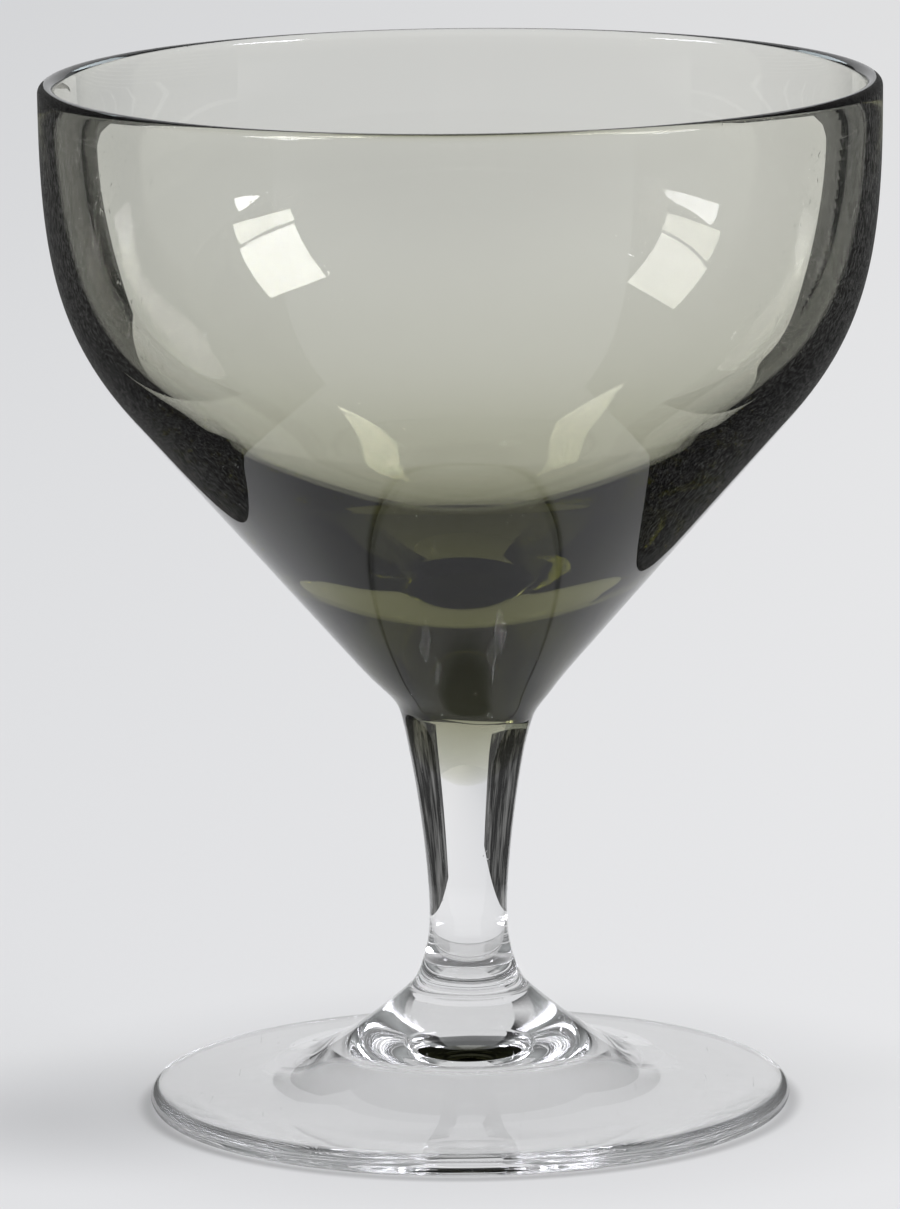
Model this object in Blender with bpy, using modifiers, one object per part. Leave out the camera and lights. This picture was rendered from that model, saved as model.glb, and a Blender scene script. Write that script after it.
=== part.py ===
"""Footed sherbet glass: a smoke-grey bowl, a clear drawn stem and a clear foot, fused in one line.

Sizes are in metres. The glass stands on the XY plane with its axis on +Z.
Each piece is a turned profile in its own frame, placed at the height of the joint below it.
"""

from math import cos, pi, radians, sin

import bpy
from mathutils import Vector
from mathutils.geometry import interpolate_bezier

# Foot
FOOT_DIAMETER = 0.0695
FOOT_HEIGHT = 0.0131  # from the table to the joint with the stem
FOOT_EDGE = 0.0023  # thickness of the rounded edge
FOOT_HOLLOW = 0.0069  # depth of the hollow underside on the axis
RESTING_RING = 0.0026  # width of the flat ring that touches the table

# Stem
STEM_LENGTH = 0.0301  # from the joint with the foot to the joint with the bowl
STEM_FOOT_DIAMETER = 0.0127
STEM_WAIST_DIAMETER = 0.0084
STEM_TOP_DIAMETER = 0.0145
WAIST_HEIGHT = 0.0079  # from the joint with the foot to the narrowest place

# Bowl
BOWL_HEIGHT = 0.0688  # from the joint with the stem to the rim
RIM_DIAMETER = 0.0902
RIM_WALL = 0.0018
RIM_STRAIGHT = 0.0027  # upright part of the inside, just under the rounded rim
SHOULDER_INSET = 0.0096  # how far inside the rim the straight cone ends
SHOULDER_HEIGHT = 0.0328  # from the joint with the stem to the end of the cone
SHOULDER_WALL = 0.00315  # thickness square to the cone at its end
BASE_THICKNESS = 0.0156  # from the joint with the stem to the middle of the cavity
NECK_FLARE = 0.0021  # how far the fillet at the joint widens the bowl
NECK_HEIGHT = 0.0028  # height of that fillet
PLUG_DEPTH = 0.0076  # how far the rounded base of the bowl reaches down into the stem

# Clearance at each fused joint, taken off the top of the lower piece
JOINT_GAP = 0.0003

# Slopes of the profile, in degrees from the axis
CAVITY_SLOPE = 44.5
PLUG_SLOPE = 45.0
STEM_TOP_SLOPE = 20.0
STEM_FOOT_SLOPE = 48.0
FOOT_EDGE_SLOPE = 87.0
HOLLOW_SLOPE = 88.0

# Fullness of each curve: the two handles as shares of the straight distance between its ends
FLOOR_FULLNESS = (0.26, 0.28)
CAVITY_FULLNESS = (0.255, 0.58)
WALL_FULLNESS = (0.468, 0.344)
NECK_FULLNESS = (0.40, 0.29)
PLUG_FULLNESS = (0.30, 0.22)
STEM_FULLNESS = (0.163, 0.294)
WAIST_FULLNESS = (0.528, 0.10)
DOME_FULLNESS = (0.42, 0.44)
HOLLOW_FULLNESS = (0.62, 0.62)

# Facets around the axis
FACETS = 64

UP = Vector((0.0, 1.0))
DOWN = Vector((0.0, -1.0))
OUTWARD = Vector((1.0, 0.0))
INWARD = Vector((-1.0, 0.0))


def rising(slope):
    """Direction that climbs and widens, at the given slope from the axis."""
    return Vector((sin(radians(slope)), cos(radians(slope))))


def falling(slope):
    """Direction that descends and widens, at the given slope from the axis."""
    return Vector((sin(radians(slope)), -cos(radians(slope))))


def curve(start, leaving, end, arriving, fullness, pieces):
    """Smooth curve between two points with a set direction at each, without its first point."""
    span = (end - start).length
    first = start + leaving * (span * fullness[0])
    second = end - arriving * (span * fullness[1])
    return interpolate_bezier(start, first, second, end, pieces + 1)[1:]


def arc(centre, radius, begin, finish, pieces):
    """Circular arc between two angles from the radial direction, with both its ends."""
    points = []
    for i in range(pieces + 1):
        angle = begin + (finish - begin) * i / pieces
        points.append(centre + Vector((cos(angle), sin(angle))) * radius)
    return points


def bowl_profile():
    """Cavity from its middle up to the rim, the outside down to the joint, then the rounded base."""
    rim_radius = RIM_DIAMETER / 2
    lip = RIM_WALL / 2
    lip_centre = Vector((rim_radius - lip, BOWL_HEIGHT - lip))
    seat_edge = Vector((STEM_TOP_DIAMETER / 2, 0.0))
    neck = seat_edge + Vector((NECK_FLARE, NECK_HEIGHT))
    shoulder = Vector((rim_radius - SHOULDER_INSET, SHOULDER_HEIGHT))
    cone = (shoulder - neck).normalized()
    inner_shoulder = shoulder + Vector((-cone.y, cone.x)) * SHOULDER_WALL
    inner_slope = rising(CAVITY_SLOPE)
    inner_top = Vector((rim_radius - RIM_WALL, lip_centre.y - RIM_STRAIGHT))
    floor = Vector((0.0, BASE_THICKNESS))
    lip_outside = Vector((rim_radius, lip_centre.y))
    profile = [floor]
    profile += curve(floor, OUTWARD, inner_shoulder, inner_slope, FLOOR_FULLNESS, 9)
    profile += curve(inner_shoulder, inner_slope, inner_top, UP, CAVITY_FULLNESS, 7)
    profile += arc(lip_centre, lip, pi, 0.0, 6)
    profile += curve(lip_outside, DOWN, shoulder, -cone, WALL_FULLNESS, 9)
    profile.append(neck)
    profile += curve(neck, -cone, seat_edge, -rising(STEM_TOP_SLOPE), NECK_FULLNESS, 3)
    plug_end = Vector((0.0, -PLUG_DEPTH))
    profile += curve(seat_edge, -rising(PLUG_SLOPE), plug_end, INWARD, PLUG_FULLNESS, 8)
    return profile


def stem_profile():
    """Cup for the base of the bowl, drawn side down to the waist and out to the foot, flat bottom."""
    top = STEM_LENGTH - JOINT_GAP
    top_edge = Vector((STEM_TOP_DIAMETER / 2, top))
    waist = Vector((STEM_WAIST_DIAMETER / 2, WAIST_HEIGHT))
    foot_edge = Vector((STEM_FOOT_DIAMETER / 2, 0.0))
    cup = Vector((0.0, top - PLUG_DEPTH))
    profile = [cup]
    profile += curve(cup, OUTWARD, top_edge, rising(PLUG_SLOPE), PLUG_FULLNESS[::-1], 8)
    profile += curve(top_edge, -rising(STEM_TOP_SLOPE), waist, DOWN, STEM_FULLNESS, 8)
    profile += curve(waist, DOWN, foot_edge, falling(STEM_FOOT_SLOPE), WAIST_FULLNESS, 6)
    profile.append(Vector((0.0, 0.0)))
    return profile


def foot_profile():
    """Flat seat, domed top, rounded edge, flat resting ring and hollow underside."""
    top = FOOT_HEIGHT - JOINT_GAP
    edge = FOOT_EDGE / 2
    edge_centre = Vector((FOOT_DIAMETER / 2 - edge, edge))
    edge_turn = pi / 2 - radians(FOOT_EDGE_SLOPE)
    seat_edge = Vector((STEM_FOOT_DIAMETER / 2, top))
    rounded_edge = arc(edge_centre, edge, pi / 2 - edge_turn, -pi / 2, 7)
    ring_inside = Vector((edge_centre.x - RESTING_RING, 0.0))
    crown = Vector((0.0, FOOT_HOLLOW))
    hollow_rise = Vector((-sin(radians(HOLLOW_SLOPE)), cos(radians(HOLLOW_SLOPE))))
    profile = [Vector((0.0, top)), seat_edge]
    profile += curve(
        seat_edge, falling(STEM_FOOT_SLOPE), rounded_edge[0], falling(FOOT_EDGE_SLOPE), DOME_FULLNESS, 11
    )
    profile += rounded_edge[1:]
    profile.append(ring_inside)
    profile += curve(ring_inside, hollow_rise, crown, INWARD, HOLLOW_FULLNESS, 7)
    return profile


def glass(name, colour, roughness):
    """Polished see-through glass of one colour."""
    material = bpy.data.materials.new(name)
    material.use_nodes = True
    shader = material.node_tree.nodes["Principled BSDF"]
    shader.inputs["Base Color"].default_value = (*colour, 1.0)
    shader.inputs["Metallic"].default_value = 0.0
    shader.inputs["Roughness"].default_value = roughness
    shader.inputs["IOR"].default_value = 1.5
    shader.inputs["Transmission Weight"].default_value = 1.0
    material.diffuse_color = (*colour, 0.6)
    return material


def smoke_glass():
    """Grey glass with a slight olive warmth, for the bowl."""
    return glass("smoke_glass", (0.40, 0.39, 0.35), 0.02)


def clear_stem_glass():
    """Colourless glass of the stem."""
    return glass("clear_stem_glass", (0.93, 0.94, 0.94), 0.02)


def clear_foot_glass():
    """Colourless glass of the foot, a little duller from handling."""
    return glass("clear_foot_glass", (0.93, 0.95, 0.96), 0.03)


def turn(name, profile, height, material, collection, axis):
    """Turn a profile about the axis into one closed piece standing at the given height."""
    outline = bpy.data.meshes.new(name + "_outline")
    links = [(i, i + 1) for i in range(len(profile) - 1)]
    outline.from_pydata([(point.x, 0.0, point.y) for point in profile], links, [])
    piece = bpy.data.objects.new(name, outline)
    collection.objects.link(piece)
    piece.parent = axis
    piece.location.z = height
    screw = piece.modifiers.new("Turn", "SCREW")
    screw.axis = "Z"
    screw.steps = FACETS
    screw.render_steps = FACETS
    screw.use_merge_vertices = True
    screw.merge_threshold = 0.00001
    bpy.context.view_layer.update()
    evaluated = piece.evaluated_get(bpy.context.evaluated_depsgraph_get())
    turned = bpy.data.meshes.new_from_object(evaluated)
    turned.name = name
    turned.shade_smooth()
    turned.set_sharp_from_angle(angle=radians(40.0))
    turned.materials.append(material)
    piece.modifiers.clear()
    piece.data = turned
    bpy.data.meshes.remove(outline)
    return piece


def main():
    """Build the three pieces on one upright axis."""
    for item in list(bpy.data.objects):
        bpy.data.objects.remove(item, do_unlink=True)
    collection = bpy.data.collections.new("sherbet_glass")
    bpy.context.scene.collection.children.link(collection)
    axis = bpy.data.objects.new("glass_axis", None)
    axis.empty_display_size = FOOT_HEIGHT
    collection.objects.link(axis)
    bowl_seat = FOOT_HEIGHT + STEM_LENGTH
    turn("foot", foot_profile(), 0.0, clear_foot_glass(), collection, axis)
    turn("stem", stem_profile(), FOOT_HEIGHT, clear_stem_glass(), collection, axis)
    turn("bowl", bowl_profile(), bowl_seat, smoke_glass(), collection, axis)


main()
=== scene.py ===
"""Footed sherbet glass in smoke-grey and clear glass, dressed for a still-life photograph.

Three turned pieces stand in for the three solids of the frame. They are fused hot on the real glass, so the
faces where two pieces meet carry no reflection and light passes straight from one piece into the next.
Sizes are in metres in the frame's own axes: +Z is up and the glass stands on the XY plane.
"""

import logging
import math
from dataclasses import dataclass, replace
from enum import Enum, IntEnum
from typing import ClassVar

import bmesh
import bpy
from mathutils import Matrix, Vector
from mathutils.geometry import interpolate_bezier


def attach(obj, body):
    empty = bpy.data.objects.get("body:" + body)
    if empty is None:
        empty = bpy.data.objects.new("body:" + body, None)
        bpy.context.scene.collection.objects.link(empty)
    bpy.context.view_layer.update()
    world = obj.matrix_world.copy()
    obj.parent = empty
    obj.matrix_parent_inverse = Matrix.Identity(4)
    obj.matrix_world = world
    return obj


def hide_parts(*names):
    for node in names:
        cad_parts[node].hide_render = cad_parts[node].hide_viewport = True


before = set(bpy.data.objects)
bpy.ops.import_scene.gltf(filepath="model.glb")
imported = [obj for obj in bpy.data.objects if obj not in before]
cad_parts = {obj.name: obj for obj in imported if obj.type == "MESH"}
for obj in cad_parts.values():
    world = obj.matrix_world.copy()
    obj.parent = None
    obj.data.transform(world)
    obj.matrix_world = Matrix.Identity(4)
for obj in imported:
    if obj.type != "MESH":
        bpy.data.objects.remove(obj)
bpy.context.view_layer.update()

LOG = logging.getLogger("sherbet_glass")
BODY = "root"
ON_AXIS = 1e-7  # radius under which a point of a profile lies on the axis
SHARP_ANGLE = 50.0  # degrees between two faces that keep their edge sharp
LIGHT_BOUNCES = 32  # enough for light to cross both walls of the bowl many times

UP = Vector((0.0, 1.0))
DOWN = Vector((0.0, -1.0))
OUTWARD = Vector((1.0, 0.0))
INWARD = Vector((-1.0, 0.0))

Colour = tuple[float, float, float]
Place = tuple[float, float, float]
Fullness = tuple[float, float]
Span = tuple[float, float]
Leaf = list[Place]
Socket = bpy.types.NodeSocket


class Face(IntEnum):
    """Material place of a face on a glass piece."""

    SKIN = 0
    FUSED = 1


class Side(IntEnum):
    """Side of the set, as the camera sees it."""

    LEFT = -1
    RIGHT = 1


class SeenIn(Enum):
    """Light paths in which a hidden card of the studio shows up."""

    REFLECTIONS = "reflections"
    REFRACTIONS = "refractions"


class Through(Enum):
    """Glass through which a finish of the set shows, as tests on the light path.

    Each test is a count of the light path, the comparison and the limit.
    """

    ANY = ()
    SOLID = (("Transmission Depth", "LESS_THAN", 2.5), ("Glossy Depth", "LESS_THAN", 0.5))
    EDGE = (("Transmission Depth", "LESS_THAN", 2.5), ("Glossy Depth", "GREATER_THAN", 0.5))
    BOTH_WALLS = (("Transmission Depth", "GREATER_THAN", 2.5), ("Ray Length", "GREATER_THAN", 0.05))


def rising(slope: float) -> Vector:
    """Direction in the profile that climbs and widens, at a slope in degrees from the axis."""
    return Vector((math.sin(math.radians(slope)), math.cos(math.radians(slope))))


def falling(slope: float) -> Vector:
    """Direction in the profile that descends and widens, at a slope in degrees from the axis."""
    return Vector((math.sin(math.radians(slope)), -math.cos(math.radians(slope))))


def curve(
    start: Vector, leaving: Vector, end: Vector, arriving: Vector, fullness: Fullness, pieces: int
) -> list[Vector]:
    """Smooth profile curve with a set direction at each end.

    Args:
        start: First point, which isn't repeated in the result.
        leaving: Unit direction at the first point.
        end: Last point.
        arriving: Unit direction at the last point.
        fullness: The two handles as shares of the straight distance.
        pieces: Number of short lines the curve is cut into.

    Returns:
        The points after the first one.
    """
    span = (end - start).length
    first = start + leaving * (span * fullness[0])
    second = end - arriving * (span * fullness[1])
    return interpolate_bezier(start, first, second, end, pieces + 1)[1:]


def line(start: Vector, end: Vector, pieces: int) -> list[Vector]:
    """Straight profile line cut into short lines, without its first point."""
    return [start.lerp(end, i / pieces) for i in range(1, pieces + 1)]


def arc(centre: Vector, radius: float, begin: float, finish: float, pieces: int) -> list[Vector]:
    """Circular arc in the profile.

    Args:
        centre: Centre of the arc.
        radius: Radius of the arc.
        begin: First angle from the radial direction, in radians.
        finish: Last angle, in radians.
        pieces: Number of short lines the arc is cut into.

    Returns:
        The points with both ends.
    """
    points = []
    for i in range(pieces + 1):
        angle = begin + (finish - begin) * i / pieces
        points.append(centre + Vector((math.cos(angle), math.sin(angle))) * radius)
    return points


class Outline:
    """Profile of a turned piece, drawn run by run from the axis back to the axis."""

    def __init__(self, start: Vector) -> None:
        """Begin at a point of radius and height."""
        self.points: list[Vector] = [start]
        self.faces: list[Face] = []

    def run(self, points: list[Vector], face: Face = Face.SKIN) -> None:
        """Draw on through more points, with one kind of face."""
        self.points += points
        self.faces += [face] * len(points)


def ring(bm: bmesh.types.BMesh, point: Vector, facets: int) -> list[bmesh.types.BMVert]:
    """Ring of corners about +Z, or one corner where the point lies on the axis.

    Args:
        bm: Mesh under construction.
        point: Radius and height of the ring.
        facets: Facets around the axis.

    Returns:
        The corners in order round the axis.
    """
    if point.x < ON_AXIS:
        return [bm.verts.new((0.0, 0.0, point.y))]
    angles = [2.0 * math.pi * i / facets for i in range(facets)]
    return [bm.verts.new((point.x * math.cos(a), point.x * math.sin(a), point.y)) for a in angles]


def turn(name: str, outline: Outline, facets: int) -> bpy.types.Object:
    """Turn an outline about +Z into one closed smooth mesh.

    Args:
        name: Name of the new object.
        outline: Profile of the piece, down its outer side.
        facets: Facets around the axis.

    Returns:
        The new object, linked to the scene.
    """
    bm = bmesh.new()
    rings = [ring(bm, point, facets) for point in outline.points]
    for upper, lower, face in zip(rings[:-1], rings[1:], outline.faces):
        for i in range(facets):
            j = (i + 1) % facets
            corners = [upper[i % len(upper)], lower[i % len(lower)], lower[j % len(lower)], upper[j % len(upper)]]
            bm.faces.new(list(dict.fromkeys(corners))).material_index = face
    bmesh.ops.recalc_face_normals(bm, faces=bm.faces)
    mesh = bpy.data.meshes.new(name)
    bm.to_mesh(mesh)
    bm.free()
    mesh.shade_smooth()
    mesh.set_sharp_from_angle(angle=math.radians(SHARP_ANGLE))
    piece = bpy.data.objects.new(name, mesh)
    bpy.context.scene.collection.objects.link(piece)
    return piece


def smooth_step(low: float, high: float, value: float) -> float:
    """Share from 0 to 1 that eases in and out between two values."""
    share = min(1.0, max(0.0, (value - low) / (high - low)))
    return share * share * (3.0 - 2.0 * share)


class Nodes:
    """Small bench for putting a node tree together."""

    FIRST_COLOUR: ClassVar[int] = 6
    SECOND_COLOUR: ClassVar[int] = 7
    MIXED_COLOUR: ClassVar[int] = 2

    def __init__(self, tree: bpy.types.NodeTree) -> None:
        """Clear a node tree and keep it for new nodes."""
        self.tree = tree
        self.tree.nodes.clear()

    def add(self, kind: str, **values: object) -> bpy.types.Node:
        """Add a node and set its inputs.

        Args:
            kind: Blender's type name of the node.
            values: Input values by name, with underscores for spaces; a leading "p_" sets a property.

        Returns:
            The new node.
        """
        node = self.tree.nodes.new(kind)
        for key, value in values.items():
            if key.startswith("p_"):
                setattr(node, key[2:], value)
            else:
                node.inputs[key.replace("_", " ")].default_value = value
        return node

    def join(self, start: Socket, end: Socket) -> None:
        """Link an output to an input."""
        self.tree.links.new(start, end)

    def feed(self, value: object, end: Socket) -> None:
        """Link a socket to an input, or set the input to a plain value.

        Args:
            value: Socket or plain value.
            end: Input that takes it.
        """
        if isinstance(value, Socket):
            self.join(value, end)
        else:
            end.default_value = value

    def maths(self, operation: str, first: Socket, second: object = None) -> Socket:
        """Work out one step of arithmetic.

        Args:
            operation: Blender's name of the step.
            first: Socket of the first value.
            second: Second value, plain or a socket, or None for a step on one value.

        Returns:
            The socket of the result.
        """
        node = self.add("ShaderNodeMath", p_operation=operation)
        self.join(first, node.inputs[0])
        if second is not None:
            self.feed(second, node.inputs[1])
        return node.outputs["Value"]

    def level(
        self, value: Socket, span: Span, start: object = 0.0, end: float = 1.0, eased: bool = True
    ) -> Socket:
        """Turn a value within a span into a level, held at its ends.

        Args:
            value: Socket of the value.
            span: Values where the change begins and ends.
            start: Level at the beginning, plain or a socket.
            end: Level at the end.
            eased: Whether the change eases in and out.

        Returns:
            The socket of the level.
        """
        node = self.add("ShaderNodeMapRange", From_Min=span[0], From_Max=span[1], To_Max=end)
        if eased:
            node.interpolation_type = "SMOOTHSTEP"
        self.feed(start, node.inputs["To Min"])
        self.join(value, node.inputs["Value"])
        return node.outputs["Result"]

    def blend(self, first: Colour, second: Colour, share: Socket) -> Socket:
        """Mix two colours.

        Args:
            first: Colour at share 0.
            second: Colour at share 1.
            share: Socket of the share.

        Returns:
            The socket of the mixed colour.
        """
        node = self.add("ShaderNodeMix", p_data_type="RGBA")
        node.inputs[self.FIRST_COLOUR].default_value = (*first, 1.0)
        node.inputs[self.SECOND_COLOUR].default_value = (*second, 1.0)
        self.join(share, node.inputs["Factor"])
        return node.outputs[self.MIXED_COLOUR]

    def noise(
        self, place: Socket, scale: float, detail: float, roughness: float
    ) -> Socket:
        """Soft random value over a surface.

        Args:
            place: Socket of the place on the surface.
            scale: Patches per metre.
            detail: Layers of finer patches.
            roughness: Weight of the finer patches.

        Returns:
            The socket of the value.
        """
        node = self.add("ShaderNodeTexNoise", Scale=scale, Detail=detail, Roughness=roughness)
        self.join(place, node.inputs["Vector"])
        return node.outputs["Fac"]


@dataclass(frozen=True)
class GlassFinish:
    """Polished glass with its tint through the depth and the traces of hand work on its skin.

    Attributes:
        name: Name of the finish.
        absorbed: Red, green and blue light taken per metre of depth, or None for colourless glass.
        ripple: Height of the slow ripples left by hot working.
        ripple_size: Ripples per metre.
        haze: Roughness inside handling marks; elsewhere the skin is polished.
        scratch: Height of the fine scratches.
        index: Index of refraction.
    """

    name: str
    absorbed: Colour | None = None
    ripple: float = 0.00002
    ripple_size: float = 45.0
    haze: float = 0.015
    scratch: float = 0.000004
    index: float = 1.5
    TINT_HEADROOM: ClassVar[float] = 1.2
    MARKS_PER_METRE: ClassVar[float] = 55.0
    MARK_SPAN: ClassVar[Span] = (0.56, 0.78)
    SCRATCH_TURN: ClassVar[Place] = (0.4, 0.2, 0.7)
    SCRATCH_STRETCH: ClassVar[Place] = (1500.0, 90.0, 700.0)
    SCRATCH_SPAN: ClassVar[Span] = (0.70, 0.74)

    def add_depth(self, nodes: Nodes, output: bpy.types.Node) -> None:
        """Put the tint through the depth of a material.

        Args:
            nodes: Bench of the material.
            output: Output node of the material.
        """
        if self.absorbed is None:
            return
        density = max(self.absorbed) * self.TINT_HEADROOM
        colour = [1.0 - taken / density for taken in self.absorbed]
        depth = nodes.add("ShaderNodeVolumeAbsorption", Color=(*colour, 1.0), Density=density)
        nodes.join(depth.outputs["Volume"], output.inputs["Volume"])

    def skin(self) -> bpy.types.Material:
        """Polished skin with handling haze, slow ripples and fine scratches.

        Returns:
            The material of the visible faces.
        """
        material = bpy.data.materials.new(self.name)
        material.use_nodes = True
        nodes = Nodes(material.node_tree)
        output = nodes.add("ShaderNodeOutputMaterial")
        shader = nodes.add("ShaderNodeBsdfPrincipled", Base_Color=(1.0, 1.0, 1.0, 1.0), IOR=self.index)
        shader.inputs["Transmission Weight"].default_value = 1.0
        nodes.join(shader.outputs["BSDF"], output.inputs["Surface"])
        place = nodes.add("ShaderNodeTexCoord").outputs["Object"]
        nodes.join(self.haze_value(nodes, place), shader.inputs["Roughness"])
        nodes.join(self.relief(nodes, place), shader.inputs["Normal"])
        self.add_depth(nodes, output)
        return material

    def haze_value(self, nodes: Nodes, place: Socket) -> Socket:
        """Roughness that rises a little in soft patches of handling marks."""
        marks = nodes.noise(place, self.MARKS_PER_METRE, detail=4.0, roughness=0.55)
        return nodes.level(marks, self.MARK_SPAN, end=self.haze, eased=False)

    def relief(self, nodes: Nodes, place: Socket) -> Socket:
        """Normal that carries the slow ripples and the fine scratches.

        Args:
            nodes: Bench of the material.
            place: Socket of the place on the piece.

        Returns:
            The socket of the normal.
        """
        slow = nodes.noise(place, self.ripple_size, detail=1.0, roughness=0.4)
        waves = nodes.add("ShaderNodeBump", Strength=1.0, Distance=self.ripple)
        nodes.join(slow, waves.inputs["Height"])
        spread = nodes.add("ShaderNodeMapping", Rotation=self.SCRATCH_TURN, Scale=self.SCRATCH_STRETCH)
        nodes.join(place, spread.inputs["Vector"])
        lines = nodes.noise(spread.outputs["Vector"], scale=1.0, detail=2.0, roughness=0.6)
        cuts = nodes.add("ShaderNodeBump", Strength=1.0, Distance=self.scratch, p_invert=True)
        nodes.join(nodes.level(lines, self.SCRATCH_SPAN, eased=False), cuts.inputs["Height"])
        nodes.join(waves.outputs["Normal"], cuts.inputs["Normal"])
        return cuts.outputs["Normal"]

    def fused(self) -> bpy.types.Material:
        """Face where this glass runs on into its neighbour, with no surface of its own.

        Returns:
            The material of the fused faces.
        """
        material = bpy.data.materials.new(self.name + "_fused")
        material.use_nodes = True
        nodes = Nodes(material.node_tree)
        output = nodes.add("ShaderNodeOutputMaterial")
        passing = nodes.add("ShaderNodeBsdfTransparent")
        nodes.join(passing.outputs["BSDF"], output.inputs["Surface"])
        self.add_depth(nodes, output)
        return material


@dataclass(kw_only=True)
class TurnedGlass:
    """One gather of glass, turned about the axis and fused to its neighbours.

    Attributes:
        finish: Glass of the piece.
        base: Height of its base over the table.
        facets: Facets around the axis.
        name: Name of the piece.
        node: Solid of the frame that it stands in for.
        slot: Material slot of that solid; not used.
    """

    finish: GlassFinish
    base: float = 0.0
    facets: int = 256
    name: ClassVar[str] = ""
    node: ClassVar[str] = ""
    slot: ClassVar[str] = ""

    def outline(self) -> Outline:
        """Profile of the piece from its own base."""
        raise NotImplementedError

    def shape(self, point: Vector) -> Vector:
        """Place of a point after the small unevenness of hand work; none by default."""
        return point

    def build(self) -> bpy.types.Object:
        """Make the mesh in place over the table.

        Returns:
            The new piece, with its fused faces in their own material place.
        """
        piece = turn(self.name, self.outline(), self.facets)
        for vertex in piece.data.vertices:
            vertex.co = self.shape(vertex.co + Vector((0.0, 0.0, self.base)))
        piece.data.update()
        return piece

    def dress(self, piece: bpy.types.Object) -> None:
        """Give a piece its finish and fix it to the frame.

        Args:
            piece: Mesh of this gather.
        """
        piece.data.materials.append(self.finish.skin())
        piece.data.materials.append(self.finish.fused())
        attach(piece, BODY)
        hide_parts(self.node)
        LOG.info("%s: %d faces in %s", piece.name, len(piece.data.polygons), self.finish.name)


@dataclass(frozen=True)
class FusedJoint:
    """Joint of two gathers, a little out of level where the hot glass met.

    Attributes:
        height: Height of the joint over the table.
        tilt: Rise of the joint across its width, towards -X, in degrees.
        wander: Height of the small waves along the joint.
        reach: Distance over which the unevenness fades, up and down.
        gap: Hair gap between the two meshes.
    """

    height: float
    tilt: float
    wander: float
    reach: float = 0.005
    gap: float = 0.00001
    EDGE_SPAN: ClassVar[Span] = (0.003, 0.007)
    LONG_WAVE: ClassVar[tuple[float, float]] = (3.0, 0.6)
    SHORT_WAVE: ClassVar[tuple[float, float]] = (7.0, 2.0)
    SHORT_SHARE: ClassVar[float] = 0.6

    def move(self, point: Vector) -> Vector:
        """Shift a point near the joint by the joint's unevenness.

        Args:
            point: Place in the frame.

        Returns:
            The shifted place.
        """
        fade = 1.0 - smooth_step(0.0, self.reach, abs(point.z - self.height))
        angle = math.atan2(point.y, point.x)
        radius = math.hypot(point.x, point.y)
        rise = -point.x * math.tan(math.radians(self.tilt))
        edge = smooth_step(*self.EDGE_SPAN, radius)
        long = math.sin(self.LONG_WAVE[0] * angle + self.LONG_WAVE[1])
        short = math.sin(self.SHORT_WAVE[0] * angle + self.SHORT_WAVE[1])
        rise += self.wander * edge * (long + self.SHORT_SHARE * short)
        return Vector((point.x, point.y, point.z + rise * fade))


@dataclass(kw_only=True)
class Bowl(TurnedGlass):
    """Smoke-grey bowl: upright sides over a straight cone, with a solid base rounded into the stem."""

    joint: FusedJoint
    height: float = 0.0688
    rim_diameter: float = 0.0902
    rim_wall: float = 0.0018
    rim_straight: float = 0.0027
    shoulder_inset: float = 0.0096
    shoulder_height: float = 0.0328
    shoulder_wall: float = 0.00315
    base_thickness: float = 0.0156
    seat_diameter: float = 0.0145
    seat_slope: float = 20.0
    neck_flare: float = 0.0021
    neck_height: float = 0.0028
    plug_depth: float = 0.0076
    plug_slope: float = 45.0
    cavity_slope: float = 44.5
    floor_fullness: Fullness = (0.26, 0.28)
    cavity_fullness: Fullness = (0.255, 0.58)
    wall_fullness: Fullness = (0.468, 0.344)
    neck_fullness: Fullness = (0.40, 0.29)
    plug_fullness: Fullness = (0.30, 0.22)
    name: ClassVar[str] = "smoke_bowl"
    node: ClassVar[str] = "bowl"
    slot: ClassVar[str] = "smoke_glass"

    def outline(self) -> Outline:
        """Cavity from its middle up to the rim, the outside down to the joint, then the rounded base.

        Returns:
            The profile from the axis back to the axis.
        """
        rim_radius = self.rim_diameter / 2
        lip = self.rim_wall / 2
        lip_centre = Vector((rim_radius - lip, self.height - lip))
        seat_edge = Vector((self.seat_diameter / 2, 0.0))
        neck = seat_edge + Vector((self.neck_flare, self.neck_height))
        shoulder = Vector((rim_radius - self.shoulder_inset, self.shoulder_height))
        cone = (shoulder - neck).normalized()
        inner_shoulder = shoulder + Vector((-cone.y, cone.x)) * self.shoulder_wall
        inner_slope = rising(self.cavity_slope)
        inner_top = Vector((rim_radius - self.rim_wall, lip_centre.y - self.rim_straight))
        floor = Vector((0.0, self.base_thickness))
        lip_outside = Vector((rim_radius, lip_centre.y))
        plug = Vector((0.0, -self.plug_depth))
        drawn = Outline(floor)
        drawn.run(curve(floor, OUTWARD, inner_shoulder, inner_slope, self.floor_fullness, pieces=48))
        drawn.run(curve(inner_shoulder, inner_slope, inner_top, UP, self.cavity_fullness, pieces=40))
        drawn.run(arc(lip_centre, lip, math.pi, 0.0, pieces=16))
        drawn.run(curve(lip_outside, DOWN, shoulder, -cone, self.wall_fullness, pieces=44))
        drawn.run(line(shoulder, neck, pieces=24))
        drawn.run(curve(neck, -cone, seat_edge, -rising(self.seat_slope), self.neck_fullness, pieces=12))
        drawn.run(curve(seat_edge, -rising(self.plug_slope), plug, INWARD, self.plug_fullness, pieces=24), Face.FUSED)
        return drawn

    def shape(self, point: Vector) -> Vector:
        """Unevenness of the joint with the stem."""
        return self.joint.move(point)


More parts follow.
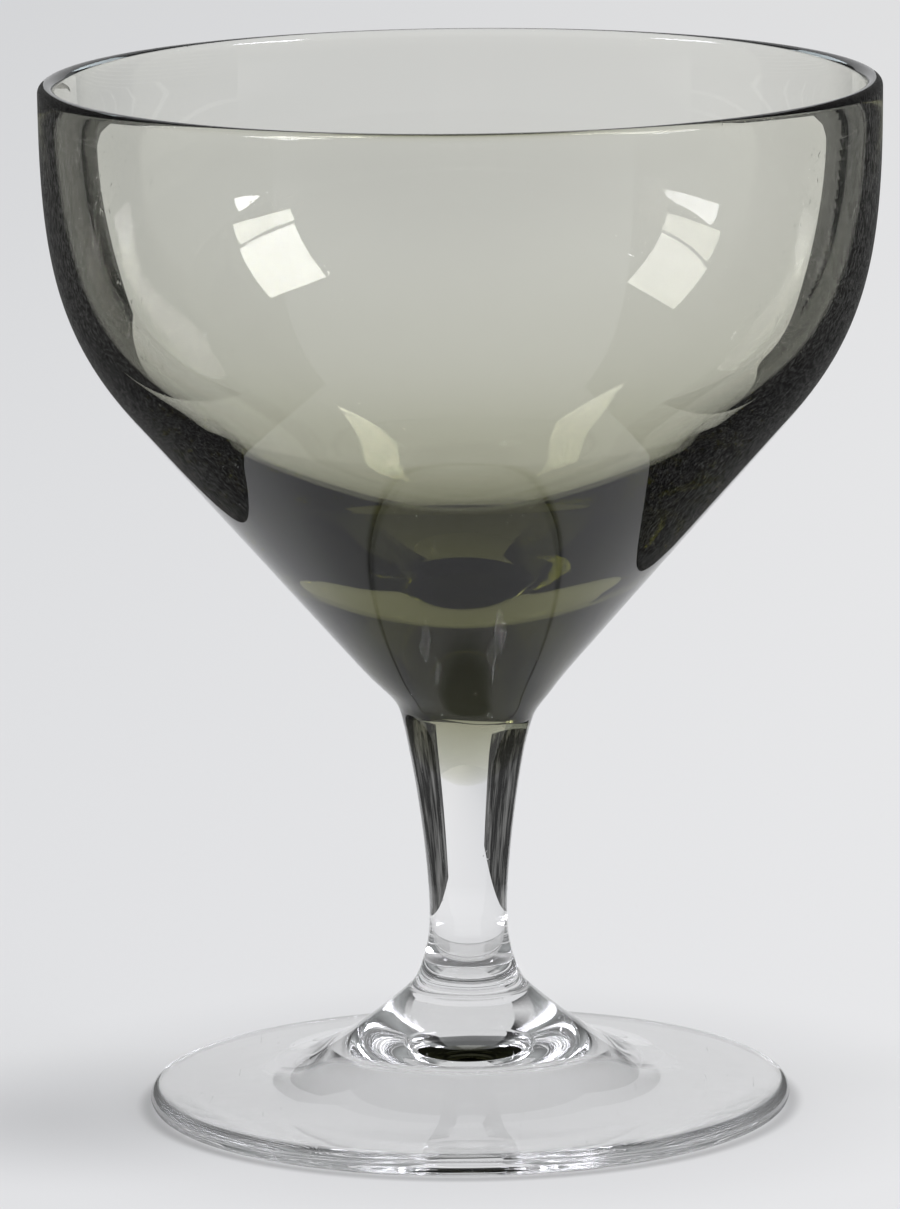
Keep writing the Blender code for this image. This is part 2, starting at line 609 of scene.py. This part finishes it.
@dataclass(kw_only=True)
class Stem(TurnedGlass):
    """Clear solid stem, drawn from under the bowl to a waist and flared into the foot."""

    upper_joint: FusedJoint
    lower_joint: FusedJoint
    length: float = 0.0301
    foot_diameter: float = 0.0127
    waist_diameter: float = 0.0084
    top_diameter: float = 0.0145
    waist_height: float = 0.0079
    top_slope: float = 20.0
    foot_slope: float = 48.0
    drawn_fullness: Fullness = (0.163, 0.294)
    waist_fullness: Fullness = (0.528, 0.10)
    cup_depth: float = 0.0076
    cup_slope: float = 45.0
    cup_fullness: Fullness = (0.22, 0.30)
    name: ClassVar[str] = "drawn_stem"
    node: ClassVar[str] = "stem"
    slot: ClassVar[str] = "clear_stem_glass"

    def outline(self) -> Outline:
        """Cup for the base of the bowl, drawn side down to the waist and out to the foot, flat bottom.

        Returns:
            The profile from the axis back to the axis.
        """
        top = self.length - self.upper_joint.gap
        top_edge = Vector((self.top_diameter / 2, top))
        waist = Vector((self.waist_diameter / 2, self.waist_height))
        foot_edge = Vector((self.foot_diameter / 2, 0.0))
        cup = Vector((0.0, top - self.cup_depth))
        drawn = Outline(cup)
        drawn.run(curve(cup, OUTWARD, top_edge, rising(self.cup_slope), self.cup_fullness, pieces=24), Face.FUSED)
        drawn.run(curve(top_edge, -rising(self.top_slope), waist, DOWN, self.drawn_fullness, pieces=48))
        drawn.run(curve(waist, DOWN, foot_edge, falling(self.foot_slope), self.waist_fullness, pieces=28))
        drawn.run([Vector((0.0, 0.0))], Face.FUSED)
        return drawn

    def shape(self, point: Vector) -> Vector:
        """Unevenness of both joints."""
        return self.lower_joint.move(self.upper_joint.move(point))


@dataclass(kw_only=True)
class Foot(TurnedGlass):
    """Clear foot: domed top, rounded edge, flat resting ring and hollow underside."""

    joint: FusedJoint
    diameter: float = 0.0695
    height: float = 0.0131
    edge: float = 0.0023
    hollow: float = 0.0069
    resting_ring: float = 0.0026
    seat_diameter: float = 0.0127
    seat_slope: float = 48.0
    edge_slope: float = 87.0
    hollow_slope: float = 88.0
    dome_fullness: Fullness = (0.42, 0.44)
    hollow_fullness: Fullness = (0.62, 0.62)
    ripple: float = 0.000003
    RING_WAVES: ClassVar[float] = 620.0
    RING_SWAY: ClassVar[tuple[float, float]] = (2.0, 2.0)
    SPIRAL_WAVES: ClassVar[tuple[float, float]] = (5.0, 900.0)
    SPIRAL_SHARE: ClassVar[float] = 0.7
    STILL_MIDDLE: ClassVar[float] = 0.004
    HAIR: ClassVar[float] = 1e-6
    name: ClassVar[str] = "domed_foot"
    node: ClassVar[str] = "foot"
    slot: ClassVar[str] = "clear_foot_glass"

    def outline(self) -> Outline:
        """Flat seat, domed top, rounded edge, resting ring, then the hollow to its middle.

        Returns:
            The profile from the axis back to the axis.
        """
        top = self.height - self.joint.gap
        edge = self.edge / 2
        edge_centre = Vector((self.diameter / 2 - edge, edge))
        edge_turn = math.pi / 2 - math.radians(self.edge_slope)
        seat_edge = Vector((self.seat_diameter / 2, top))
        rounded = arc(edge_centre, edge, math.pi / 2 - edge_turn, -math.pi / 2, pieces=18)
        ring_inside = Vector((edge_centre.x - self.resting_ring, 0.0))
        crown = Vector((0.0, self.hollow))
        slope = math.radians(self.hollow_slope)
        rise = Vector((-math.sin(slope), math.cos(slope)))
        drawn = Outline(Vector((0.0, top)))
        drawn.run([seat_edge], Face.FUSED)
        leaving, arriving = falling(self.seat_slope), falling(self.edge_slope)
        drawn.run(curve(seat_edge, leaving, rounded[0], arriving, self.dome_fullness, pieces=72))
        drawn.run(rounded[1:])
        drawn.run(line(rounded[-1], ring_inside, pieces=2))
        drawn.run(curve(ring_inside, rise, crown, INWARD, self.hollow_fullness, pieces=56))
        return drawn

    def shape(self, point: Vector) -> Vector:
        """Unevenness of the joint, and slow ripples on the hand-finished underside.

        Args:
            point: Place in the frame.

        Returns:
            The shifted place.
        """
        moved = self.joint.move(point)
        radius = math.hypot(point.x, point.y)
        if point.z > self.hollow + self.HAIR or radius > self.diameter / 2 - self.edge - self.resting_ring:
            return moved
        angle = math.atan2(point.y, point.x)
        sway = self.RING_SWAY[0] * math.sin(self.RING_SWAY[1] * angle)
        spiral = math.sin(self.SPIRAL_WAVES[0] * angle + self.SPIRAL_WAVES[1] * radius)
        wave = math.sin(self.RING_WAVES * radius + sway) + self.SPIRAL_SHARE * spiral
        moved.z += self.ripple * wave * smooth_step(0.0, self.STILL_MIDDLE, radius)
        return moved


@dataclass(frozen=True)
class Paint:
    """Finish of a surface of the set that glows by itself.

    Attributes:
        name: Name of the finish.
        dark: Colour of its darker specks.
        light: Colour of its brighter places.
        grain: Specks per metre.
        through: Glass through which it shows.
    """

    name: str
    dark: Colour
    light: Colour
    grain: float
    through: Through = Through.ANY
    SPECK_SPAN: ClassVar[Span] = (0.45, 0.75)

    def material(self) -> bpy.types.Material:
        """Make the finish.

        Returns:
            A material with a fine mottle between the two colours.
        """
        material = bpy.data.materials.new(self.name)
        material.use_nodes = True
        nodes = Nodes(material.node_tree)
        output = nodes.add("ShaderNodeOutputMaterial")
        place = nodes.add("ShaderNodeTexCoord").outputs["Object"]
        specks = nodes.noise(place, self.grain, detail=3.0, roughness=0.7)
        share = nodes.level(specks, self.SPECK_SPAN, eased=False)
        glow = nodes.add("ShaderNodeEmission", Strength=1.0)
        nodes.join(nodes.blend(self.dark, self.light, share), glow.inputs["Color"])
        seen = glow.outputs["Emission"]
        for count, comparison, limit in self.through.value:
            passed = nodes.maths(comparison, nodes.add("ShaderNodeLightPath").outputs[count], limit)
            pick = nodes.add("ShaderNodeMixShader")
            nodes.join(passed, pick.inputs["Fac"])
            nodes.join(nodes.add("ShaderNodeBsdfTransparent").outputs["BSDF"], pick.inputs[1])
            nodes.join(seen, pick.inputs[2])
            seen = pick.outputs["Shader"]
        nodes.join(seen, output.inputs["Surface"])
        return material


BACKDROP_PAPER = Paint("backdrop_paper", (0.66, 0.665, 0.675), (0.68, 0.685, 0.695), grain=3.0)
BLACK_VELVET = Paint("black_velvet", (0.012, 0.012, 0.013), (0.05, 0.05, 0.052), grain=420.0)
# Specks of dust, and a glow up to mid grey that is painted light and sheen on the cloth.
DUST_AND_SHEEN_VELVET = Paint("dust_and_sheen_velvet", (0.04, 0.04, 0.04), (0.34, 0.34, 0.335), grain=1100.0)
# Glows in coarse patches from near black to mid grey.
PATCHY_VELVET = Paint("patchy_velvet", (0.028, 0.028, 0.028), (0.32, 0.32, 0.315), grain=30.0)
WINDOW_LIGHT = Paint("window_glow", (3.2, 3.6, 3.8), (4.2, 4.7, 5.0), grain=6.0)


def sheets(name: str, leaves: list[Leaf], material: bpy.types.Material) -> bpy.types.Object:
    """One or more flat sheets of the set in one object.

    Args:
        name: Name of the new object.
        leaves: Four corners in order round each sheet.
        material: Finish of the sheets.

    Returns:
        The new object, marked as part of the set.
    """
    mesh = bpy.data.meshes.new(name)
    corners = [corner for leaf in leaves for corner in leaf]
    mesh.from_pydata(corners, [], [tuple(range(4 * i, 4 * i + 4)) for i in range(len(leaves))])
    mesh.materials.append(material)
    piece = bpy.data.objects.new(name, mesh)
    bpy.context.scene.collection.objects.link(piece)
    return piece


@dataclass
class Table:
    """Pale table and the sheet of paper behind it.

    Attributes:
        reach: Distance from the glass to the front and the sides of the table.
        back: Distance from the glass to the paper.
        paper_width: Half of the paper's width.
        paper_height: Height of the paper.
        drop: Hair gap under the glass.
        painted_light_spot: Middle of the painted pool of light on the top.
        fade: Distance over which the painted pool of light fades.
        bright: Level in the middle of the painted pool of light.
        dim: Level far from the painted pool of light.
        left_painted_light_tint: Painted light tint on the left, darker and cooler.
        right_painted_light_tint: Painted light tint on the right, brighter.
        painted_light_tint_span: Places across the view where the painted light tint begins and ends to change.
        matt: Share of the lamps' light that the top gives back.
        painted_front_shade_level: Level of the painted shade near the camera, where the top grows dimmer.
        front_span: Places along the view where that painted shade ends.
        painted_under_foot_shade: Level of the painted shade under the foot.
        painted_under_foot_shade_span: Radii where that painted shade ends.
        painted_core_shade_level: Level of the painted shade under the middle of the foot, in mirrored light only.
        painted_core_shade_span: Radii where that painted shade ends.
        contact_shadow_radius: Radius of the painted shadow line where the foot touches.
        contact_shadow_width: Width of that painted shadow line to each side.
        contact_shadow_level: Level in that painted shadow line.
        contact_shadow_mirrored: Level in that painted shadow line, in mirrored light.
        painted_shadow_spot: Middle of the painted soft shadow.
        painted_shadow_reach: Radius of the painted soft shadow.
        painted_shadow_level: Level in the middle of the painted soft shadow.
        painted_round_foot_shade_level: Level of the painted shade close round the foot.
        painted_round_foot_shade_span: Radii where that painted shade ends.
    """

    reach: float = 4.0
    back: float = 2.5
    paper_width: float = 1.165
    paper_height: float = 2.2
    drop: float = 0.00002
    painted_light_spot: Place = (0.0, 0.29, 0.0)
    fade: float = 0.75
    bright: float = 0.70
    dim: float = 0.675
    left_painted_light_tint: Colour = (0.875, 0.885, 0.905)
    right_painted_light_tint: Colour = (1.085, 1.085, 1.09)
    painted_light_tint_span: Span = (-0.25, 0.25)
    matt: float = 0.10
    painted_front_shade_level: float = 0.33
    front_span: Span = (-0.6, -0.1)
    painted_under_foot_shade: float = 0.92
    painted_under_foot_shade_span: Span = (0.018, 0.038)
    painted_core_shade_level: float = 0.30
    painted_core_shade_span: Span = (0.008, 0.017)
    contact_shadow_radius: float = 0.0349
    contact_shadow_width: float = 0.0017
    contact_shadow_level: float = 0.62
    contact_shadow_mirrored: float = 0.05
    painted_shadow_spot: Place = (-0.047, -0.006, 0.0)
    painted_shadow_reach: float = 0.036
    painted_shadow_level: float = 0.74
    painted_round_foot_shade_level: float = 0.90
    painted_round_foot_shade_span: Span = (0.034, 0.06)
    ONE_BOUNCE: ClassVar[Span] = (0.0, 1.0)

    def away(self, nodes: Nodes, place: Socket, spot: Place) -> Socket:
        """Distance on the top from a spot.

        Args:
            nodes: Bench of the material.
            place: Socket of the place on the top.
            spot: Place to measure from.

        Returns:
            The socket of the distance.
        """
        node = nodes.add("ShaderNodeVectorMath", p_operation="DISTANCE")
        node.inputs[1].default_value = spot
        nodes.join(place, node.inputs[0])
        return node.outputs["Value"]

    def painted_foot_shades(self, nodes: Nodes, place: Socket) -> list[Socket]:
        """Painted shades and a painted shadow line in rings under and round the foot.

        Args:
            nodes: Bench of the material.
            place: Socket of the place on the top.

        Returns:
            The sockets of the levels, from 0 to 1.
        """
        middle = nodes.add("ShaderNodeVectorMath", p_operation="LENGTH")
        nodes.join(place, middle.inputs[0])
        radius = middle.outputs["Value"]
        bounced = nodes.add("ShaderNodeLightPath").outputs["Glossy Depth"]
        near = nodes.maths("ABSOLUTE", nodes.maths("SUBTRACT", radius, self.contact_shadow_radius))
        contact_shadow = nodes.level(bounced, self.ONE_BOUNCE, self.contact_shadow_level, self.contact_shadow_mirrored, eased=False)
        core_shade = nodes.level(bounced, self.ONE_BOUNCE, 1.0, self.painted_core_shade_level, eased=False)
        return [
            # Painted shade under the foot.
            nodes.level(radius, self.painted_under_foot_shade_span, self.painted_under_foot_shade),
            # Painted shadow line where the foot touches the table.
            nodes.level(near, (0.0, self.contact_shadow_width), contact_shadow),
            # Painted shade under the middle of the foot, in mirrored light only.
            nodes.level(radius, self.painted_core_shade_span, core_shade),
            # Painted shade close round the foot.
            nodes.level(radius, self.painted_round_foot_shade_span, self.painted_round_foot_shade_level),
        ]

    def top_material(self) -> bpy.types.Material:
        """Pale top that glows by itself, with a painted pool of light behind the glass, painted light brighter to the
        right, and its shades and shadows painted in.

        Returns:
            The material of the table top.
        """
        material = bpy.data.materials.new("pale_table_painted_light")
        material.use_nodes = True
        nodes = Nodes(material.node_tree)
        output = nodes.add("ShaderNodeOutputMaterial")
        place = nodes.add("ShaderNodeTexCoord").outputs["Object"]
        split = nodes.add("ShaderNodeSeparateXYZ")
        nodes.join(place, split.inputs["Vector"])
        painted_shadow_distance = self.away(nodes, place, self.painted_shadow_spot)
        # Painted pool of light: the top is brightest behind the glass and dims away from it.
        strength = nodes.level(self.away(nodes, place, self.painted_light_spot), (0.0, self.fade), self.bright, self.dim)
        # Painted shades, multiplied into the glow of the top.
        for shade in (
            # Painted shade: the top grows dimmer towards the camera.
            nodes.level(split.outputs["Y"], self.front_span, self.painted_front_shade_level),
            *self.painted_foot_shades(nodes, place),
            # Painted soft shadow to the left of the foot.
            nodes.level(painted_shadow_distance, (0.0, self.painted_shadow_reach), self.painted_shadow_level),
        ):
            strength = nodes.maths("MULTIPLY", strength, shade)
        glow = nodes.add("ShaderNodeEmission")
        # Painted light: the top is darker and cooler on the left and brighter on the right.
        across = nodes.level(split.outputs["X"], self.painted_light_tint_span)
        nodes.join(nodes.blend(self.left_painted_light_tint, self.right_painted_light_tint, across), glow.inputs["Color"])
        nodes.join(strength, glow.inputs["Strength"])
        matt = nodes.add("ShaderNodeBsdfDiffuse", Color=(self.matt, self.matt, self.matt, 1.0))
        both = nodes.add("ShaderNodeAddShader")
        nodes.join(glow.outputs["Emission"], both.inputs[0])
        nodes.join(matt.outputs["BSDF"], both.inputs[1])
        nodes.join(both.outputs["Shader"], output.inputs["Surface"])
        return material

    def build(self) -> None:
        """Lay the table and stand the paper behind it."""
        reach, back, low = self.reach, self.back, -self.drop
        top = [(-reach, -reach, low), (reach, -reach, low), (reach, back, low), (-reach, back, low)]
        sheets("table_top", [top], self.top_material())
        wide, high = self.paper_width, self.paper_height
        paper = [(-wide, back, low), (wide, back, low), (wide, back, high), (-wide, back, high)]
        sheets("backdrop", [paper], BACKDROP_PAPER.material())
        LOG.info("table and backdrop laid")


@dataclass
class Card:
    """Card or row of slats beside the glass that only the glass sees.

    Attributes:
        name: Name of the card.
        leaves: Corners of each of its sheets.
        seen_in: Light paths in which it shows.
    """

    name: str
    leaves: list[Leaf]
    seen_in: SeenIn

    def build(self, finish: bpy.types.Material) -> None:
        """Stand the card on the set.

        Args:
            finish: Material of its sheets.
        """
        piece = sheets(self.name, self.leaves, finish)
        piece.visible_camera = False
        piece.visible_diffuse = False
        piece.visible_shadow = False
        piece.visible_glossy = self.seen_in is SeenIn.REFLECTIONS
        piece.visible_transmission = self.seen_in is SeenIn.REFRACTIONS


@dataclass(frozen=True)
class Flag:
    """Upright leaf of velvet beside the glass, along the view.

    Attributes:
        at: Distance from the middle of the set.
        front: Front end along the view.
        back: Back end along the view.
        height: Height of the leaf.
    """

    at: float
    front: float
    back: float
    height: float

    def leaf(self, side: Side) -> Leaf:
        """Corners of the leaf on one side of the set."""
        x, front, back, high = side * self.at, self.front, self.back, self.height
        return [(x, front, 0.0), (x, back, 0.0), (x, back, high), (x, front, high)]


@dataclass(frozen=True)
class Louvre(Flag):
    """Row of narrow slats in place of a flag, closed to the main view and open to a slanting one.

    Attributes:
        pitch: Distance between slats along the view.
        depth: Width of a slat.
        slant: Direction of the slats from the main view, in degrees.
    """

    pitch: float = 0.0008
    depth: float = 0.0022
    slant: float = 45.0

    def slats(self, side: Side) -> list[Leaf]:
        """Every slat on one side of the set.

        Args:
            side: Side of the set.

        Returns:
            The corners of each slat.
        """
        turned = math.radians(self.slant)
        x, high = side * self.at, self.height
        across, along = side * self.depth * math.sin(turned), self.depth * math.cos(turned)
        starts = [self.front + self.pitch * i for i in range(round((self.back - self.front) / self.pitch) + 1)]
        return [
            [(x, y, 0.0), (x + across, y + along, 0.0), (x + across, y + along, high), (x, y, high)] for y in starts
        ]


@dataclass(frozen=True)
class Blind(Flag):
    """Row of level slats in place of a flag, closed to falling light and open to rising light.

    Attributes:
        pitch: Height between slats.
        depth: Width of a slat.
        slant: Rise of the slats away from the glass, in degrees.
    """

    pitch: float = 0.0016
    depth: float = 0.0024
    slant: float = 28.0

    def slats(self, side: Side) -> list[Leaf]:
        """Every slat on one side of the set.

        Args:
            side: Side of the set.

        Returns:
            The corners of each slat.
        """
        turned = math.radians(self.slant)
        x, front, back = side * self.at, self.front, self.back
        out, up = side * self.depth * math.cos(turned), self.depth * math.sin(turned)
        levels = [self.pitch * i for i in range(round(self.height / self.pitch) + 1)]
        return [[(x, front, z), (x, back, z), (x + out, back, z + up), (x + out, front, z + up)] for z in levels]


@dataclass
class Velvet:
    """Black velvet on one side of the set, which draws the dark edges of the glass.

    Attributes:
        side: Side of the set.
        mirrored: Flag beside the glass, seen in reflections.
        low: Low flag, which only the stem sees.
        louvre: Row of slats, seen through both walls of the bowl.
        blind: Row of slats, seen through the edge of the bowl.
    """

    side: Side
    mirrored: Flag
    low: Flag
    louvre: Louvre
    blind: Blind

    def build(self) -> None:
        """Stand the leaves."""
        side = self.side.name.lower()
        stem_cloth = replace(PATCHY_VELVET, through=Through.SOLID)
        wall_cloth = replace(BLACK_VELVET, through=Through.BOTH_WALLS)
        edge_cloth = replace(BLACK_VELVET, through=Through.EDGE)
        hung = [
            ("flag", [self.mirrored.leaf(self.side)], SeenIn.REFLECTIONS, DUST_AND_SHEEN_VELVET),
            ("low_flag", [self.low.leaf(self.side)], SeenIn.REFRACTIONS, stem_cloth),
            ("louvre", self.louvre.slats(self.side), SeenIn.REFRACTIONS, wall_cloth),
            ("blind", self.blind.slats(self.side), SeenIn.REFRACTIONS, edge_cloth),
        ]
        for name, leaves, seen_in, cloth in hung:
            Card(f"velvet_{name}_{side}", leaves, seen_in).build(cloth.material())
        LOG.info("velvet stood on the %s", side)


@dataclass
class WindowGlow:
    """Cool daylight behind the set, which only the polished foot mirrors.

    Attributes:
        side: Side of the set.
        azimuth: Direction from the glass, in degrees round from straight behind.
        elevation: Height as seen from the glass, in degrees.
        distance: Distance from the glass.
        size: Width and height of the bright pane.
    """

    side: Side
    azimuth: float = 36.0
    elevation: float = 31.0
    distance: float = 1.0
    size: float = 0.4

    def build(self) -> None:
        """Stand the bright pane."""
        turned, lifted, half = math.radians(self.azimuth), math.radians(self.elevation), self.size / 2
        right = Vector((math.cos(turned), -self.side * math.sin(turned), 0.0)) * half
        middle = Vector((self.side * math.sin(turned), math.cos(turned), math.tan(lifted))) * self.distance
        up = Vector((0.0, 0.0, half))
        corners = [tuple(middle + right * i + up * j) for i, j in ((-1, -1), (1, -1), (1, 1), (-1, 1))]
        Card(f"window_{self.side.name.lower()}", [corners], SeenIn.REFLECTIONS).build(WINDOW_LIGHT.material())
        LOG.info("window glow on the %s", self.side.name.lower())


@dataclass
class SoftBox:
    """Soft light beside the set, turned to the bowl.

    Attributes:
        side: Side of the set.
        azimuth: Direction from the glass, in degrees round from the camera.
        power: Power in watts.
        elevation: Height of the light as seen from the glass, in degrees.
        distance: Distance from the glass.
        width: Width of the light.
        height: Height of the light.
        aim: Height on the glass that it is turned to.
        colour: Tint of the light, a little cool.
    """

    side: Side
    azimuth: float
    power: float
    elevation: float = 25.0
    distance: float = 1.05
    width: float = 0.40
    height: float = 0.50
    aim: float = 0.09
    colour: Colour = (0.95, 0.95, 1.04)

    def build(self) -> None:
        """Hang the light and turn it to the glass."""
        lamp = bpy.data.lights.new(f"softbox_{self.side.name.lower()}", "AREA")
        lamp.shape = "RECTANGLE"
        lamp.size = self.width
        lamp.size_y = self.height
        lamp.energy = self.power
        lamp.color = self.colour
        light = bpy.data.objects.new(lamp.name, lamp)
        turned, lifted = math.radians(self.azimuth), math.radians(self.elevation)
        way = Vector(
            (
                self.side * math.sin(turned) * math.cos(lifted),
                -math.cos(turned) * math.cos(lifted),
                math.sin(lifted),
            )
        )
        light.location = way * self.distance + Vector((0.0, 0.0, self.aim))
        light.rotation_euler = (-way).to_track_quat("-Z", "Y").to_matrix().to_euler()
        light.visible_camera = False
        bpy.context.scene.collection.objects.link(light)
        LOG.info("%s hung", lamp.name)


@dataclass
class Room:
    """Room round the set: dark behind the camera, lighter at the sides; the camera itself sees pale paper.

    Attributes:
        dim: Light from behind the camera.
        sides: Light from the sides and the back.
        ceiling: Share of that light that comes from above.
        paper: Pale paper that the camera sees.
        front_span: Directions along the view where the dark behind the camera ends.
        ceiling_span: Heights of the direction where the ceiling begins.
    """

    dim: Colour = (0.02, 0.02, 0.021)
    sides: Colour = (0.38, 0.395, 0.40)
    ceiling: float = 0.3
    paper: Colour = (0.70, 0.705, 0.715)
    front_span: Span = (-0.9, -0.5)
    ceiling_span: Span = (0.45, 0.75)

    def build(self) -> None:
        """Make the world."""
        world = bpy.data.worlds.new("room")
        world.use_nodes = True
        nodes = Nodes(world.node_tree)
        output = nodes.add("ShaderNodeOutputWorld")
        split = nodes.add("ShaderNodeSeparateXYZ")
        nodes.join(nodes.add("ShaderNodeTexCoord").outputs["Generated"], split.inputs["Vector"])
        front = nodes.level(split.outputs["Y"], self.front_span, eased=False)
        above = nodes.level(split.outputs["Z"], self.ceiling_span, 1.0, self.ceiling, eased=False)
        share = nodes.maths("MULTIPLY", front, above)
        room = nodes.add("ShaderNodeBackground")
        nodes.join(nodes.blend(self.dim, self.sides, share), room.inputs["Color"])
        pale = nodes.add("ShaderNodeBackground", Color=(*self.paper, 1.0))
        straight = nodes.add("ShaderNodeLightPath").outputs["Is Camera Ray"]
        pick = nodes.add("ShaderNodeMixShader")
        nodes.join(straight, pick.inputs["Fac"])
        nodes.join(room.outputs["Background"], pick.inputs[1])
        nodes.join(pale.outputs["Background"], pick.inputs[2])
        nodes.join(pick.outputs["Shader"], output.inputs["Surface"])
        bpy.context.scene.world = world


@dataclass
class StudioCamera:
    """Camera of the still life, a little above the rim on a long lens.

    Attributes:
        distance: Distance from the pivot.
        elevation: Height as seen from the pivot, in degrees.
        pivot: Height on the axis that the camera is placed from.
        aim: Place that it is turned to.
        roll: Turn about its own view, in degrees.
        sensor: Height of the sensor in millimetres.
        focal_pixels: Focal length in picture rows.
        image_height: Rows of the picture.
        clip_span: Nearest and farthest distance that it sees.
    """

    distance: float = 0.9697
    elevation: float = 10.64
    pivot: float = 0.055
    aim: Place = (-0.00164, 0.0, 0.05494)
    roll: float = -0.6
    sensor: float = 36.0
    focal_pixels: float = 8993.9
    image_height: float = 1209.0
    clip_span: Span = (0.01, 50.0)

    def build(self) -> None:
        """Stand the camera and make it the scene's own."""
        data = bpy.data.cameras.new("studio_camera")
        data.sensor_fit = "VERTICAL"
        data.sensor_height = self.sensor
        data.lens = self.focal_pixels / self.image_height * self.sensor
        data.clip_start, data.clip_end = self.clip_span
        data.dof.use_dof = False
        camera = bpy.data.objects.new("studio_camera", data)
        tilt = math.radians(self.elevation)
        camera.location = (
            0.0,
            -self.distance * math.cos(tilt),
            self.pivot + self.distance * math.sin(tilt),
        )
        way = Vector(self.aim) - camera.location
        turned = way.to_track_quat("-Z", "Y").to_matrix() @ Matrix.Rotation(math.radians(self.roll), 3, "Z")
        camera.rotation_euler = turned.to_euler()
        bpy.context.scene.collection.objects.link(camera)
        bpy.context.scene.camera = camera


def settle_light() -> None:
    """Let light cross the glass often enough, and keep plain colours."""
    scene = bpy.context.scene
    for limit in ("max_bounces", "transmission_bounces", "glossy_bounces", "transparent_max_bounces"):
        setattr(scene.cycles, limit, LIGHT_BOUNCES)
    scene.cycles.sample_clamp_indirect = 0.0
    scene.view_settings.view_transform = "Standard"


def build_glass() -> None:
    """Make the three pieces of the glass and fix them to the frame."""
    smoke = GlassFinish("smoke_glass", absorbed=(65.0, 65.0, 91.0))
    clear_stem = GlassFinish("clear_stem_glass", ripple=0.00001)
    clear_foot = GlassFinish("clear_foot_glass", ripple=0.000004, ripple_size=300.0, haze=0.03, scratch=0.000008)
    foot_top = FusedJoint(height=0.0131, tilt=0.0, wander=0.00003)
    bowl_base = FusedJoint(height=0.0432, tilt=4.0, wander=0.00006)
    pieces: list[TurnedGlass] = [
        Bowl(finish=smoke, base=bowl_base.height, joint=bowl_base),
        Stem(finish=clear_stem, base=foot_top.height, upper_joint=bowl_base, lower_joint=foot_top),
        Foot(finish=clear_foot, base=0.0, joint=foot_top),
    ]
    for piece in pieces:
        piece.dress(piece.build())


def build_studio() -> None:
    """Make the set, the lights and the camera."""
    Table().build()
    Velvet(
        Side.LEFT,
        mirrored=Flag(at=0.0695, front=-0.08, back=0.23, height=0.16),
        low=Flag(at=0.0758, front=0.0, back=0.283, height=0.07),
        louvre=Louvre(at=0.0759, front=0.03, back=0.283, height=0.16),
        blind=Blind(at=0.0757, front=0.0, back=0.283, height=0.16),
    ).build()
    Velvet(
        Side.RIGHT,
        mirrored=Flag(at=0.0595, front=-0.08, back=0.16, height=0.16),
        low=Flag(at=0.0628, front=0.0, back=0.176, height=0.07),
        louvre=Louvre(at=0.0629, front=0.015, back=0.176, height=0.16),
        blind=Blind(at=0.0627, front=0.0, back=0.176, height=0.16),
    ).build()
    for side in Side:
        WindowGlow(side).build()
    SoftBox(Side.LEFT, azimuth=77.0, power=8.0).build()
    SoftBox(Side.RIGHT, azimuth=64.0, power=13.0).build()
    Room().build()
    StudioCamera().build()
    settle_light()


def main() -> None:
    """Build the glass, then the studio around it."""
    logging.basicConfig(level=logging.INFO, format="%(name)s: %(message)s")
    build_glass()
    build_studio()


if __name__ == "__main__":
    main()
